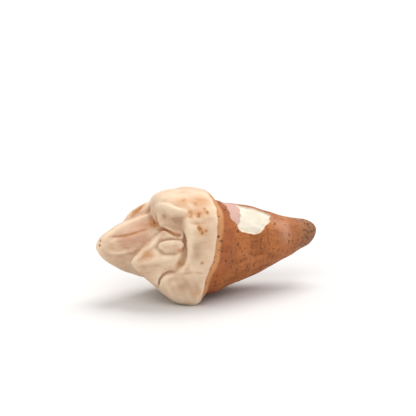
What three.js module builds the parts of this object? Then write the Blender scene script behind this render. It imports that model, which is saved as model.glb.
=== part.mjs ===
import * as THREE from 'three';

// A fossil cave bear tooth lying on its side: crown and root are one grown piece.
// Lengths are millimetres. The shape is set out about the middle of the neck, where crown meets root:
// x runs from the crown (minus) to the root tip (plus), y from the lingual side (minus) to the
// labial side (plus), and z points up. At the end the tooth is moved so that it lies on z = 0.

const COLUMNS = 92;
const ROWS = 53;
const FLOOR_Z = -8.9;

// Body sections from the crown's base to the root tip: half sizes of a rounded section at each place.
const BODY = [
  { x: -7.0, up: 7.0, down: 5.6, lingual: 4.2, labial: 8.2 },
  { x: -5.0, up: 8.9, down: 7.2, lingual: 5.4, labial: 9.0 },
  { x: -2.6, up: 9.5, down: 8.3, lingual: 6.5, labial: 9.2 },
  { x: -0.6, up: 8.9, down: 8.5, lingual: 6.9, labial: 8.8 },
  { x: 0.8, up: 7.7, down: 8.2, lingual: 6.7, labial: 8.2 },
  { x: 2.4, up: 6.8, down: 7.75, lingual: 6.3, labial: 7.4 },
  { x: 4.4, up: 6.2, down: 7.2, lingual: 5.8, labial: 6.4 },
  { x: 8.2, up: 5.4, down: 6.3, lingual: 5.0, labial: 5.2 },
  { x: 12.0, up: 3.95, down: 4.9, lingual: 4.1, labial: 4.1 },
  { x: 15.5, up: 2.75, down: 3.7, lingual: 3.0, labial: 3.0 },
  { x: 18.2, up: 2.1, down: 2.6, lingual: 2.1, labial: 2.1 },
  { x: 20.6, up: 1.7, down: 1.8, lingual: 1.6, labial: 1.6 },
];
const BODY_POWER = 2.2;
const ROOT_END_X = 20.6;
const ROOT_CAP = 2.4;
const CROWN_END_X = -8.4;
const CROWN_CAP = 3.8;

// Crown lobes, each a rounded cone from base to tip. The half sizes are those at the base,
// a higher point makes the end blunter, a higher section makes it boxier, and blend rounds the join.
const LOBES = [
  {
    name: 'main cusp', base: [-6.5, 3.0, 0.2], tip: [-17.9, 3.6, 0.5],
    lingual: 4.8, labial: 5.4, up: 5.2, down: 6.2, point: 1.6, section: 1.9, blend: 1.4,
  },
  {
    name: 'far shoulder', base: [-3.5, 4.6, 4.4], tip: [-11.3, 6.4, 3.7],
    lingual: 2.4, labial: 2.6, up: 3.1, down: 3.0, point: 1.8, section: 2.0, blend: 0.8,
  },
  {
    name: 'upper lobe', base: [-1.8, 0.2, 6.4], tip: [-8.9, -0.2, 7.2],
    lingual: 4.9, labial: 5.0, up: 2.9, down: 4.9, point: 3.4, section: 1.7, blend: 0.5,
  },
  {
    name: 'labial swelling', base: [2.2, 4.6, -4.6], tip: [-8.6, 5.8, -4.0],
    lingual: 4.2, labial: 3.9, up: 4.4, down: 4.75, point: 2.2, section: 2.0, blend: 1.0,
  },
  {
    name: 'front cusp', base: [-5.2, -2.2, -0.2], tip: [-14.0, -2.0, -1.3],
    lingual: 4.0, labial: 3.4, up: 5.0, down: 8.2, point: 1.3, section: 1.65, blend: 0.5,
  },
  {
    name: 'lingual wall', base: [-1.0, -3.6, 0.2], tip: [-5.4, -4.4, 0.2],
    lingual: 3.5, labial: 3.0, up: 5.8, down: 5.6, point: 4.5, section: 2.8, blend: 0.4,
  },
  {
    name: 'lower lobe', base: [-3.7, -3.3, -5.6], tip: [-9.6, -3.2, -4.2],
    lingual: 3.0, labial: 2.9, up: 2.6, down: 3.8, point: 1.9, section: 2.0, blend: 0.45,
  },
];
const LOBE_BACK = 2.5;

// Crests (plus) and grooves (minus) drawn along paths on the surface.
const MARKS = [
  {
    name: 'groove along the main cusp', rise: -0.3, halfWidth: 0.6,
    path: [[-16.4, 2.6, 2.0], [-14.7, 1.1, 2.0], [-12.9, 0.4, 2.4], [-10.7, 0.0, 3.1], [-9.2, 0.0, 3.8]],
  },
  {
    name: 'upper crest of the main cusp', rise: 0.28, halfWidth: 0.7,
    path: [[-17.1, 3.0, 1.6], [-14.3, 2.7, 3.5], [-11.5, 2.4, 4.5], [-8.9, 1.9, 5.4]],
  },
  {
    name: 'lower crest of the main cusp', rise: 0.2, halfWidth: 0.6,
    path: [[-16.7, 1.9, 0.3], [-15.1, 0.8, 0.0], [-13.3, -0.1, 0.1], [-12.5, -0.4, 0.5]],
  },
  {
    name: 'fissure under the upper lobe', rise: -0.6, halfWidth: 0.65,
    path: [[-9.0, 0.1, 6.1], [-8.7, -0.6, 3.5], [-8.3, -2.7, 3.5], [-7.2, -4.1, 3.1], [-6.0, -4.8, 2.9]],
  },
  {
    name: 'valley inside the lingual wall', rise: -0.65, halfWidth: 0.75,
    path: [[-5.6, -4.3, 4.6], [-5.5, -5.0, 3.2], [-5.9, -5.5, 1.9], [-6.4, -5.9, 0.3], [-6.8, -5.8, -1.4]],
  },
  {
    name: 'finger between the cusps', rise: 0.42, halfWidth: 0.75,
    path: [[-9.7, -3.9, 1.5], [-8.1, -4.8, 1.6], [-6.7, -5.4, 1.5]],
  },
  {
    name: 'groove under the finger', rise: -0.35, halfWidth: 0.5,
    path: [[-10.0, -4.0, 1.0], [-9.2, -4.8, 0.4], [-7.2, -5.6, 0.3]],
  },
  {
    name: 'groove over the lower lobe', rise: -0.45, halfWidth: 0.55,
    path: [[-9.5, -3.5, -5.4], [-9.4, -4.3, -3.3], [-8.8, -4.8, -2.6], [-7.5, -5.3, -2.2]],
  },
  {
    name: 'upper crest of the front cusp', rise: 0.3, halfWidth: 0.55,
    path: [[-13.7, -2.3, -1.0], [-12.3, -2.7, 0.5], [-11.1, -3.0, 1.4], [-9.2, -2.7, 2.9]],
  },
  {
    name: 'front crest of the front cusp', rise: 0.22, halfWidth: 0.65,
    path: [[-13.5, -2.6, -1.2], [-11.2, -4.0, -0.9], [-8.1, -5.4, -0.1]],
  },
  {
    name: 'crest of the upper lobe', rise: 0.32, halfWidth: 0.65,
    path: [[-8.9, -0.6, 7.3], [-8.3, -2.8, 7.8], [-7.0, -4.2, 7.3], [-5.3, -4.7, 6.8]],
  },
  {
    name: 'rim of the lingual wall', rise: 0.35, halfWidth: 0.6,
    path: [[-4.8, -5.3, 4.7], [-5.0, -6.0, 2.5], [-5.4, -6.1, 0.7], [-5.8, -6.1, -0.9], [-6.6, -5.6, -2.4]],
  },
  {
    name: 'worn facet on the lingual wall', rise: -0.2, halfWidth: 0.8,
    path: [[-3.8, -7.4, 1.8], [-3.7, -7.4, 0.5]],
  },
];
const MARK_FADE = 0.9;
const MARK_END = 0.25;
const MARK_REACH = 3;

// Edge of the enamel: angle from the top towards the lingual side, in degrees, and place along the tooth.
const NECK = [
  { angle: 0, x: -0.3 },
  { angle: 30, x: -0.45 },
  { angle: 57, x: -0.7 },
  { angle: 75, x: -1.25 },
  { angle: 95, x: -2.1 },
  { angle: 116, x: -2.6 },
  { angle: 134, x: -3.1 },
  { angle: 180, x: -1.8 },
  { angle: 225, x: 0.8 },
  { angle: 270, x: 1.6 },
  { angle: 315, x: 0.8 },
  { angle: 360, x: -0.3 },
];
const NECK_STEP = 0.2;
const NECK_EDGE = 0.4;
const NECK_FADE = 2.2;

// The chip on the upper side of the root, where the root's skin has spalled off.
const CHIP_X = 6.7;
const CHIP_HALF_LENGTH = 4.2;
const CHIP_ANGLE = 36;
const CHIP_HALF_ANGLE = 29;
const CHIP_POWER = 2.6;
const CHIP_DEPTH = 0.35;
const CHIP_EDGE = 0.2;

// The axis the rays leave from: one point in the crown, then a line along the root.
const CROWN_CENTRE = [-2.2, 0.2, -0.6];
const ROOT_CENTRE = [17.5, 0.0, -0.4];
const CROWN_SHARE = 0.58;
const ROOT_SHARE = 0.95;
const REACH = 24;
const COARSE_STEPS = 60;
const FINE_STEPS = 22;

// Rows and columns of the trial grid that spaces the rings evenly.
const TRIAL_COLUMNS = 36;
const TRIAL_ROWS = 120;

function clamp(value, low, high) {
  return Math.min(Math.max(value, low), high);
}

function smoothStep(low, high, value) {
  const t = clamp((value - low) / (high - low), 0, 1);
  return t * t * (3 - 2 * t);
}

// The smaller of two numbers, with the corner between them rounded over a width.
function smoothMin(a, b, width) {
  const h = clamp(0.5 + (0.5 * (b - a)) / width, 0, 1);
  return b * (1 - h) + a * h - width * h * (1 - h);
}

// Slope of a curve through unevenly spaced stations, at one of them.
function slopeAt(xs, ys, i) {
  const last = xs.length - 1;
  if (i === 0) return (ys[1] - ys[0]) / (xs[1] - xs[0]);
  if (i === last) return (ys[last] - ys[last - 1]) / (xs[last] - xs[last - 1]);
  const before = xs[i] - xs[i - 1];
  const after = xs[i + 1] - xs[i];
  const slopeBefore = (ys[i] - ys[i - 1]) / before;
  const slopeAfter = (ys[i + 1] - ys[i]) / after;
  return (slopeBefore * after + slopeAfter * before) / (before + after);
}

// A smooth curve through the stations, level beyond both ends.
function makeCurve(xs, ys) {
  const slopes = xs.map((x, i) => slopeAt(xs, ys, i));
  return (x) => {
    let i = 0;
    while (i < xs.length - 2 && x > xs[i + 1]) i += 1;
    const width = xs[i + 1] - xs[i];
    const t = clamp((x - xs[i]) / width, 0, 1);
    const rest = 1 - t;
    const fromLeft = (1 + 2 * t) * rest * rest * ys[i] + t * rest * rest * width * slopes[i];
    const fromRight = t * t * (3 - 2 * t) * ys[i + 1] - t * t * rest * width * slopes[i + 1];
    return fromLeft + fromRight;
  };
}

const bodyPlaces = BODY.map((station) => station.x);
const bodyUp = makeCurve(bodyPlaces, BODY.map((station) => station.up));
const bodyDown = makeCurve(bodyPlaces, BODY.map((station) => station.down));
const bodyLingual = makeCurve(bodyPlaces, BODY.map((station) => station.lingual));
const bodyLabial = makeCurve(bodyPlaces, BODY.map((station) => station.labial));
const neckAt = makeCurve(NECK.map((station) => station.angle), NECK.map((station) => station.x));

// Roughly the distance outside the body, negative within.
function bodyField([x, y, z]) {
  const high = z > 0 ? bodyUp(x) : bodyDown(x);
  const wide = y < 0 ? bodyLingual(x) : bodyLabial(x);
  const pastRoot = Math.max((x - (ROOT_END_X - ROOT_CAP)) / ROOT_CAP, 0);
  const pastCrown = Math.max((CROWN_END_X + CROWN_CAP - x) / CROWN_CAP, 0);
  const across = Math.abs(y / wide) ** BODY_POWER + Math.abs(z / high) ** BODY_POWER;
  const radius = Math.hypot(across ** (1 / BODY_POWER), pastRoot + pastCrown);
  return (radius - 1) * Math.min(high, wide);
}

// Roughly the distance outside one lobe, negative within.
function makeLobe(lobe) {
  const base = new THREE.Vector3(...lobe.base);
  const along = new THREE.Vector3(...lobe.tip).sub(base);
  const length = along.length();
  along.normalize();
  const side = new THREE.Vector3(0, 0, 1).cross(along).normalize();
  const above = along.clone().cross(side);
  const smallest = Math.min(lobe.lingual, lobe.labial, lobe.up, lobe.down);
  return (point) => {
    const from = new THREE.Vector3(...point).sub(base);
    const forward = from.dot(along);
    const sideways = from.dot(side);
    const upward = from.dot(above);
    const wide = sideways > 0 ? lobe.lingual : lobe.labial;
    const high = upward > 0 ? lobe.up : lobe.down;
    const across = Math.abs(sideways / wide) ** lobe.section + Math.abs(upward / high) ** lobe.section;
    const reach = (Math.abs(forward) / length) * (forward < 0 ? LOBE_BACK : 1);
    const radius = reach ** lobe.point + across ** (lobe.point / lobe.section);
    return (radius ** (1 / lobe.point) - 1) * smallest;
  };
}

// Height of one mark at a point: a rounded stroke along its path, fading at both ends.
function makeMark(mark) {
  const points = mark.path.map((p) => new THREE.Vector3(...p));
  const curve = new THREE.CatmullRomCurve3(points);
  const samples = curve.getPoints(points.length * 3);
  const length = curve.getLength();
  const box = new THREE.Box3().setFromPoints(samples).expandByScalar(MARK_REACH * mark.halfWidth);
  const segments = samples.slice(1).map((end, i) => new THREE.Line3(samples[i], end));
  const nearest = new THREE.Vector3();
  return (point) => {
    const at = new THREE.Vector3(...point);
    if (!box.containsPoint(at)) return 0;
    let strongest = 0;
    segments.forEach((segment, i) => {
      const share = segment.closestPointToPointParameter(at, true);
      segment.at(share, nearest);
      const place = ((i + share) / segments.length) * length;
      const weight = clamp(Math.min(place, length - place) / MARK_FADE, MARK_END, 1);
      const fall = Math.exp(-at.distanceToSquared(nearest) / mark.halfWidth ** 2);
      strongest = Math.max(strongest, weight * fall);
    });
    return strongest * mark.rise;
  };
}

const lobes = LOBES.map((lobe) => ({ field: makeLobe(lobe), blend: lobe.blend }));
const marks = MARKS.map(makeMark);

// Crests and grooves together; where strokes of one kind cross they don't add up.
function markHeight(point) {
  let crest = 0;
  let groove = 0;
  marks.forEach((height) => {
    const h = height(point);
    crest += Math.max(h, 0) ** 3;
    groove += Math.max(-h, 0) ** 3;
  });
  return Math.cbrt(crest) - Math.cbrt(groove);
}

// Angle around the tooth's axis in degrees, from the top towards the lingual side.
function angleAround([, y, z]) {
  const angle = THREE.MathUtils.radToDeg(Math.atan2(-y, z - ROOT_CENTRE[2]));
  return angle < 0 ? angle + 360 : angle;
}

// The root lies a little lower than the enamel where the enamel ends.
function neckDrop(point) {
  const past = point[0] - neckAt(angleAround(point));
  return NECK_STEP * smoothStep(0, NECK_EDGE, past) * (1 - smoothStep(NECK_EDGE, NECK_FADE, past));
}

// The chip is a shallow rounded patch in length and angle.
function chipDepth(point) {
  const around = angleAround(point);
  const turn = around > 180 ? around - 360 : around;
  const lengthShare = Math.abs((point[0] - CHIP_X) / CHIP_HALF_LENGTH);
  const angleShare = Math.abs((turn - CHIP_ANGLE) / CHIP_HALF_ANGLE);
  const radius = (lengthShare ** CHIP_POWER + angleShare ** CHIP_POWER) ** (1 / CHIP_POWER);
  return CHIP_DEPTH * (1 - smoothStep(1 - CHIP_EDGE, 1, radius));
}

function toothField(point) {
  let field = bodyField(point);
  lobes.forEach((lobe) => {
    field = smoothMin(field, lobe.field(point), lobe.blend);
  });
  return field - markHeight(point) + neckDrop(point) + chipDepth(point);
}

// The ray for one place on the grid: a fan from the crown's centre, then square to the root's axis,
// then a fan at the root's end.
function rayAt(row, column) {
  const crownTurn = clamp(row / CROWN_SHARE, 0, 1);
  const rootTurn = clamp((row - ROOT_SHARE) / (1 - ROOT_SHARE), 0, 1);
  const turn = ((crownTurn + rootTurn) * Math.PI) / 2;
  const along = clamp((row - CROWN_SHARE) / (ROOT_SHARE - CROWN_SHARE), 0, 1);
  const start = CROWN_CENTRE.map((c, i) => THREE.MathUtils.lerp(c, ROOT_CENTRE[i], along));
  const around = column * 2 * Math.PI;
  const direction = [-Math.cos(turn), Math.sin(turn) * Math.cos(around), Math.sin(turn) * Math.sin(around)];
  return { start, direction };
}

// The point where a ray first leaves the tooth: coarse steps, then halving.
function surfaceAt(row, column) {
  const { start, direction } = rayAt(row, column);
  const pointAt = (distance) => start.map((c, i) => c + direction[i] * distance);
  const step = REACH / COARSE_STEPS;
  let outside = step;
  while (outside < REACH && toothField(pointAt(outside)) < 0) outside += step;
  let inside = outside - step;
  for (let i = 0; i < FINE_STEPS; i += 1) {
    const middle = (inside + outside) / 2;
    if (toothField(pointAt(middle)) > 0) outside = middle;
    else inside = middle;
  }
  const [x, y, z] = pointAt(inside);
  return new THREE.Vector3(x, y, Math.max(z, FLOOR_Z));
}

// Places along the tooth that set the rings equally far apart, measured along the surface.
function evenRows(count) {
  const rings = Array.from({ length: TRIAL_ROWS }, (_, r) => {
    const row = (r + 0.5) / TRIAL_ROWS;
    return Array.from({ length: TRIAL_COLUMNS }, (__, c) => surfaceAt(row, c / TRIAL_COLUMNS));
  });
  const travelled = [0];
  for (let r = 1; r < TRIAL_ROWS; r += 1) {
    const squares = rings[r].map((p, c) => p.distanceToSquared(rings[r - 1][c]));
    const mean = squares.reduce((sum, s) => sum + s, 0) / TRIAL_COLUMNS;
    travelled.push(travelled[r - 1] + Math.sqrt(mean));
  }
  const total = travelled[TRIAL_ROWS - 1];
  return Array.from({ length: count }, (_, k) => {
    const wanted = ((k + 0.5) / count) * total;
    const after = travelled.findIndex((t) => t >= wanted);
    const gap = travelled[after] - travelled[after - 1];
    const share = (wanted - travelled[after - 1]) / gap;
    return (after - 0.5 + share) / TRIAL_ROWS;
  });
}

// A closed mesh: one point at each pole and rings of points between.
function buildTooth() {
  const points = [surfaceAt(0, 0)];
  evenRows(ROWS).forEach((row) => {
    for (let c = 0; c < COLUMNS; c += 1) points.push(surfaceAt(row, c / COLUMNS));
  });
  points.push(surfaceAt(1, 0));
  const ringPoint = (r, c) => 1 + r * COLUMNS + (c % COLUMNS);
  const lastPoint = points.length - 1;
  const triangles = [];
  for (let c = 0; c < COLUMNS; c += 1) {
    triangles.push(0, ringPoint(0, c + 1), ringPoint(0, c));
    triangles.push(lastPoint, ringPoint(ROWS - 1, c), ringPoint(ROWS - 1, c + 1));
    for (let r = 0; r < ROWS - 1; r += 1) {
      triangles.push(ringPoint(r, c), ringPoint(r, c + 1), ringPoint(r + 1, c + 1));
      triangles.push(ringPoint(r, c), ringPoint(r + 1, c + 1), ringPoint(r + 1, c));
    }
  }
  const geometry = new THREE.BufferGeometry().setFromPoints(points);
  geometry.setIndex(triangles);
  geometry.computeBoundingBox();
  const middle = geometry.boundingBox.getCenter(new THREE.Vector3());
  geometry.translate(-middle.x, -middle.y, -FLOOR_Z);
  geometry.computeVertexNormals();
  return geometry;
}

const fossil = new THREE.MeshStandardMaterial({ color: 0xbb8f70, roughness: 0.55, metalness: 0 });
const tooth = new THREE.Mesh(buildTooth(), fossil);
tooth.name = 'tooth';

const group = new THREE.Group();
group.name = 'fossil_bear_tooth';
group.add(tooth);

export default group;
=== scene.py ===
# %% [markdown]
# # A fossil cave bear tooth
# This lesson builds one tooth that lies on its side: an ivory crown with several cusps, and a single
# brown root with a white chip in it. Crown and root grew as one piece, so there is one mesh. The packed
# model is loaded first, because it fixes the size and the place of everything that follows.

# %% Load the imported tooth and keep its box
import bpy
import numpy as np
from mathutils import Matrix, Vector


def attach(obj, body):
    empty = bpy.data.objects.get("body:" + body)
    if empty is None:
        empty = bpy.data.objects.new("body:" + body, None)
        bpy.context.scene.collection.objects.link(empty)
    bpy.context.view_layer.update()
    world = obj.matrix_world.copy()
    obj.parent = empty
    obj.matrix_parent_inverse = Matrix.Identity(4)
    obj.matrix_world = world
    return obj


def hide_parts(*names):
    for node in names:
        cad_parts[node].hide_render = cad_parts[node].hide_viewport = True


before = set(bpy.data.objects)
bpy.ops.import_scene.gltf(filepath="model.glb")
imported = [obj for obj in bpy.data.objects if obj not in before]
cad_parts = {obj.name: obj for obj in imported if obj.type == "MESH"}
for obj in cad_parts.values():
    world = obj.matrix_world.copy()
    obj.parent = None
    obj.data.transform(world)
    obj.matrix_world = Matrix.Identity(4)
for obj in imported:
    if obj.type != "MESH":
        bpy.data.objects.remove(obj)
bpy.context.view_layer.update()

# %% [markdown]
# ## Where the shape is measured from
# A tooth has no square edge to measure from, so everything is set out from the middle of its neck, the
# line where enamel ends and root begins. x runs from crown to root, y from the tongue's side to the lip's
# side, z up, all in millimetres. One small vector carries the finished points into the model's frame.

# %% The neck's place in the model's frame
NECK_IN_FRAME = np.array([-1.335, -0.894, 8.9])
FLOOR_Z = -8.9
print("neck's middle stands", -FLOOR_Z, "mm above the floor")

# %% [markdown]
# ## The body of the tooth
# The body is a squarish cone that swells at the crown and tapers to the root tip. It could be lofted from
# rings of points, but a field is easier to join with other lumps: a function of space that is negative
# inside and roughly counts millimetres outside. Smooth curves give its four half sizes along x.

# %% Sections of the body and the curve through them
BODY = np.array([
    # x, up, down, tongue side, lip side
    (-7.0, 7.0, 5.6, 4.2, 8.2),
    (-5.0, 8.9, 7.2, 5.4, 9.0),
    (-2.6, 9.5, 8.3, 6.5, 9.2),
    (-0.6, 8.9, 8.5, 6.9, 8.8),
    (0.8, 7.7, 8.2, 6.7, 8.2),
    (2.4, 6.8, 7.75, 6.3, 7.4),
    (4.4, 6.2, 7.2, 5.8, 6.4),
    (8.2, 5.4, 6.3, 5.0, 5.2),
    (12.0, 3.95, 4.9, 4.1, 4.1),
    (15.5, 2.75, 3.7, 3.0, 3.0),
    (18.2, 2.1, 2.6, 2.1, 2.1),
    (20.6, 1.7, 1.8, 1.6, 1.6),
])
BODY_POWER = 2.2
ROOT_END_X, ROOT_CAP = 20.6, 2.4
CROWN_END_X, CROWN_CAP = -8.4, 3.8


def curve_through(x, places, values):
    """Cubic Hermite curve through the stations: each piece blends its two values and their slopes."""
    slopes = np.gradient(values, places)
    i = np.clip(np.searchsorted(places, x) - 1, 0, len(places) - 2)
    width = places[i + 1] - places[i]
    t = np.clip((x - places[i]) / width, 0, 1)
    start = (1 + 2 * t) * (1 - t) ** 2 * values[i] + t * (1 - t) ** 2 * width * slopes[i]
    end = t * t * (3 - 2 * t) * values[i + 1] - t * t * (1 - t) * width * slopes[i + 1]
    return start + end


def body_field(p):
    """(radius - 1) times the smaller half size, where radius is the superellipse radius of the section,
    joined as a hypotenuse with how far the point lies past the rounded ends."""
    x, y, z = np.moveaxis(p, -1, 0)
    up, down, tongue, lip = (curve_through(x, BODY[:, 0], BODY[:, k]) for k in range(1, 5))
    high = np.where(z > 0, up, down)
    wide = np.where(y < 0, tongue, lip)
    past = np.maximum((x - ROOT_END_X + ROOT_CAP) / ROOT_CAP, 0)
    past = past + np.maximum((CROWN_END_X + CROWN_CAP - x) / CROWN_CAP, 0)
    across = np.abs(y / wide) ** BODY_POWER + np.abs(z / high) ** BODY_POWER
    return (np.hypot(across ** (1 / BODY_POWER), past) - 1) * np.minimum(high, wide)


print("body sections:", len(BODY), "from x", BODY[0, 0], "to", BODY[-1, 0], "mm")

# %% [markdown]
# ## The cusps
# Each cusp is a rounded cone with its own bluntness. A smooth minimum joins the fields, so two lobes meet
# in a soft crease as enamel does, and no boolean is needed. The swelling on the hidden lip side is what
# the tooth leans on, together with the lower lobe.

# %% Lobes of the crown
LOBES = {
    # base, tip, half sizes (tongue, lip, up, down), bluntness of the point, squareness of section, blend
    "main cusp": ((-6.5, 3.0, 0.2), (-17.9, 3.6, 0.5), (4.8, 5.4, 5.2, 6.2), 1.6, 1.9, 1.4),
    "far shoulder": ((-3.5, 4.6, 4.4), (-11.3, 6.4, 3.7), (2.4, 2.6, 3.1, 3.0), 1.8, 2.0, 0.8),
    "upper lobe": ((-1.8, 0.2, 6.4), (-8.9, -0.2, 7.2), (4.9, 5.0, 2.9, 4.9), 3.4, 1.7, 0.5),
    "lip swelling": ((2.2, 4.6, -4.6), (-8.6, 5.8, -4.0), (4.2, 3.9, 4.4, 4.75), 2.2, 2.0, 1.0),
    "front cusp": ((-5.2, -2.2, -0.2), (-14.0, -2.0, -1.3), (4.0, 3.4, 5.0, 8.2), 1.3, 1.65, 0.5),
    "tongue wall": ((-1.0, -3.7, 0.4), (-6.3, -4.1, 0.4), (3.2, 3.0, 6.8, 6.4), 7.0, 2.6, 0.5),
    "wall's foot": ((-2.5, -4.1, -2.9), (-7.7, -4.5, -3.1), (2.5, 2.0, 2.4, 2.6), 3.0, 2.2, 0.3),
    "lower lobe": ((-3.7, -3.3, -5.5), (-9.6, -3.2, -4.2), (3.4, 2.9, 2.6, 3.8), 1.9, 2.0, 0.9),
    "finger": ((-6.4, -5.2, 1.55), (-10.2, -3.7, 1.6), (0.6, 0.8, 0.95, 0.95), 4.0, 2.4, 0.15),
}
LOBE_BACK = 2.5


def lobe_field(p, base, tip, sizes, point, section):
    """(radius - 1) times the smallest half size; radius sums the point-th powers of the way along the axis
    and of the section's superellipse radius, and the way back from the base counts LOBE_BACK times."""
    axis = np.subtract(tip, base)
    length = np.linalg.norm(axis)
    axis = axis / length
    side = np.cross((0, 0, 1), axis)
    side = side / np.linalg.norm(side)
    above = np.cross(axis, side)
    from_base = p - np.array(base)
    forward, sideways, upward = from_base @ axis, from_base @ side, from_base @ above
    wide = np.where(sideways > 0, sizes[0], sizes[1])
    high = np.where(upward > 0, sizes[2], sizes[3])
    across = np.abs(sideways / wide) ** section + np.abs(upward / high) ** section
    reach = np.abs(forward) / length * np.where(forward < 0, LOBE_BACK, 1)
    return ((reach ** point + across ** (point / section)) ** (1 / point) - 1) * min(sizes)


def smooth_min(a, b, width):
    """The smaller of two fields, with the corner between them rounded over a width."""
    h = np.clip(0.5 + 0.5 * (b - a) / width, 0, 1)
    return b * (1 - h) + a * h - width * h * (1 - h)


def lump_field(p):
    """Body and lobes joined one after another by the smooth minimum."""
    field = body_field(p)
    for base, tip, sizes, point, section, blend in LOBES.values():
        field = smooth_min(field, lobe_field(p, base, tip, sizes, point, section), blend)
    return field


print("lobes:", ", ".join(LOBES))

# %% [markdown]
# ## Crests and grooves
# Enamel folds into sharp crests and fissures that lumps can't give. They are strokes: each follows a path
# of a few points and raises or lowers the surface by a bell curve of the distance to that path, fading
# at both ends. Displacing vertices along normals would fold over in the fissures, so the strokes are added
# to the field instead, and strokes of one kind don't add up where they cross.

# %% Paths of the crests and grooves
MARKS = {
    # rise, half width, points on the surface
    "groove along the main cusp": (-0.10, 0.22, [
        (-16.2, 2.6, 2.2), (-14.4, 1.4, 2.4), (-13.1, 0.8, 2.7), (-11.5, 0.5, 3.0),
        (-9.7, 0.2, 3.4)]),
    "upper crest of the main cusp": (0.28, 0.60, [
        (-17.1, 3.0, 1.6), (-14.3, 2.7, 3.5), (-11.5, 2.4, 4.5), (-8.9, 1.9, 5.4)]),
    "lower crest of the main cusp": (0.24, 0.40, [
        (-16.9, 2.2, 0.1), (-15.6, 0.9, -0.2), (-14.2, 0.1, 0.0), (-12.8, -0.4, 0.3),
        (-12.3, -0.5, 0.6)]),
    "end of the upper lobe": (-0.12, 0.45, [
        (-9.0, 0.1, 6.1), (-9.0, -0.5, 4.9), (-8.6, -0.7, 3.5)]),
    "fissure under the upper lobe": (-0.30, 0.30, [
        (-8.7, -0.6, 3.4), (-7.9, -2.2, 3.5), (-7.2, -3.8, 3.1), (-6.0, -4.6, 3.0)]),
    "valley inside the tongue wall": (-0.45, 0.50, [
        (-5.4, -4.3, 5.0), (-5.4, -4.8, 3.5), (-5.9, -5.2, 2.1), (-6.3, -5.7, 0.4),
        (-6.8, -5.7, -0.9), (-7.5, -5.4, -2.0)]),
    "hollow of the upper lobe": (-0.22, 1.1, [
        (-8.9, -1.5, 5.8), (-8.3, -3.0, 5.7), (-7.2, -3.8, 5.5), (-6.2, -4.2, 5.5)]),
    "bump under the upper lobe": (0.30, 0.80, [
        (-6.8, -3.3, 4.5), (-6.0, -3.9, 4.3)]),
    "groove over the finger": (-0.20, 0.34, [
        (-10.2, -3.4, 2.2), (-9.0, -3.7, 2.6), (-7.0, -4.5, 2.75)]),
    "groove under the finger": (-0.28, 0.34, [
        (-10.3, -3.8, 1.0), (-9.4, -4.6, 0.45), (-8.3, -5.2, 0.4), (-7.0, -5.6, 0.4)]),
    "groove over the lower lobe": (-0.24, 0.28, [
        (-9.7, -3.0, -5.4), (-9.6, -3.5, -4.6), (-9.6, -3.8, -3.8), (-9.2, -4.3, -3.1),
        (-8.5, -4.7, -2.75), (-7.7, -5.2, -2.6)]),
    "rim of the lower lobe": (0.20, 0.45, [
        (-9.3, -4.0, -4.7), (-9.1, -4.3, -4.0), (-8.7, -4.6, -3.5), (-7.6, -5.3, -3.2)]),
    "crease below the tongue wall": (-0.06, 0.28, [
        (-7.0, -6.1, -3.1), (-5.8, -6.7, -2.7), (-4.1, -6.9, -2.9), (-2.7, -6.9, -3.1)]),
    "upper crest of the front cusp": (0.36, 0.42, [
        (-13.7, -2.3, -1.0), (-12.3, -2.7, 0.5), (-11.1, -3.0, 1.4), (-9.8, -2.9, 2.5),
        (-9.2, -2.7, 2.9)]),
    "front crest of the front cusp": (0.34, 0.48, [
        (-13.5, -2.6, -1.2), (-11.2, -4.0, -0.9), (-8.1, -5.4, -0.1)]),
    "crest of the upper lobe": (0.24, 0.36, [
        (-8.9, -0.6, 7.3), (-8.3, -2.8, 7.8), (-7.0, -4.2, 7.3), (-5.3, -4.7, 6.8)]),
    "rim of the tongue wall": (0.12, 0.40, [
        (-4.8, -5.3, 4.8), (-5.2, -6.0, 2.9), (-5.5, -6.2, 1.1), (-5.7, -6.3, -0.2),
        (-6.3, -6.1, -1.6), (-7.2, -5.5, -2.9)]),
    "line on the far shoulder": (-0.22, 0.40, [
        (-10.8, 5.4, 4.6), (-9.7, 5.4, 5.5), (-8.6, 5.4, 6.2)]),
    "worn facet on the tongue wall": (-0.18, 1.05, [
        (-4.7, -7.0, 1.8), (-4.8, -7.0, -0.3)]),
    "dip between upper lobe and wall": (-0.14, 0.45, [
        (-5.7, -6.1, 5.5), (-4.0, -6.6, 5.3), (-2.5, -6.5, 5.4)]),
}
STROKE_FADE, STROKE_END = 0.9, 0.25


def smooth_path(points, per_span=3):
    """Catmull-Rom curve through the points, sampled per_span times on each span."""
    p = np.array(points, float)
    ends = np.vstack([2 * p[0] - p[1], p, 2 * p[-1] - p[-2]])
    a, b, c, d = (ends[k:k + len(p) - 1, None, :] for k in range(4))
    t = (np.arange(per_span) / per_span)[None, :, None]
    bend = 2 * a - 5 * b + 4 * c - d
    twist = 3 * b - a - 3 * c + d
    spans = 0.5 * (2 * b + (c - a) * t + bend * t ** 2 + twist * t ** 3)
    return np.vstack([spans.reshape(-1, 3), p[-1:]])


def stroke(p, points, half_width):
    """exp(-(distance to the path / half width) squared), weakened near both ends of the path."""
    path = smooth_path(points)
    travelled = np.concatenate([[0], np.cumsum(np.linalg.norm(np.diff(path, axis=0), axis=1))])
    weight = np.clip(np.minimum(travelled, travelled[-1] - travelled) / STROKE_FADE, STROKE_END, 1)
    near = np.all((p > path.min(0) - 3 * half_width) & (p < path.max(0) + 3 * half_width), axis=-1)
    q = p[near]
    strongest = np.zeros(len(q))
    for start, end, w0, w1 in zip(path[:-1], path[1:], weight[:-1], weight[1:]):
        way = end - start
        share = np.clip((q - start) @ way / max(way @ way, 1e-9), 0, 1)
        gap = ((q - start - share[:, None] * way) ** 2).sum(-1)
        strongest = np.maximum(strongest, (w0 + (w1 - w0) * share) * np.exp(-gap / half_width ** 2))
    height = np.zeros(p.shape[:-1])
    height[near] = strongest
    return height


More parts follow.
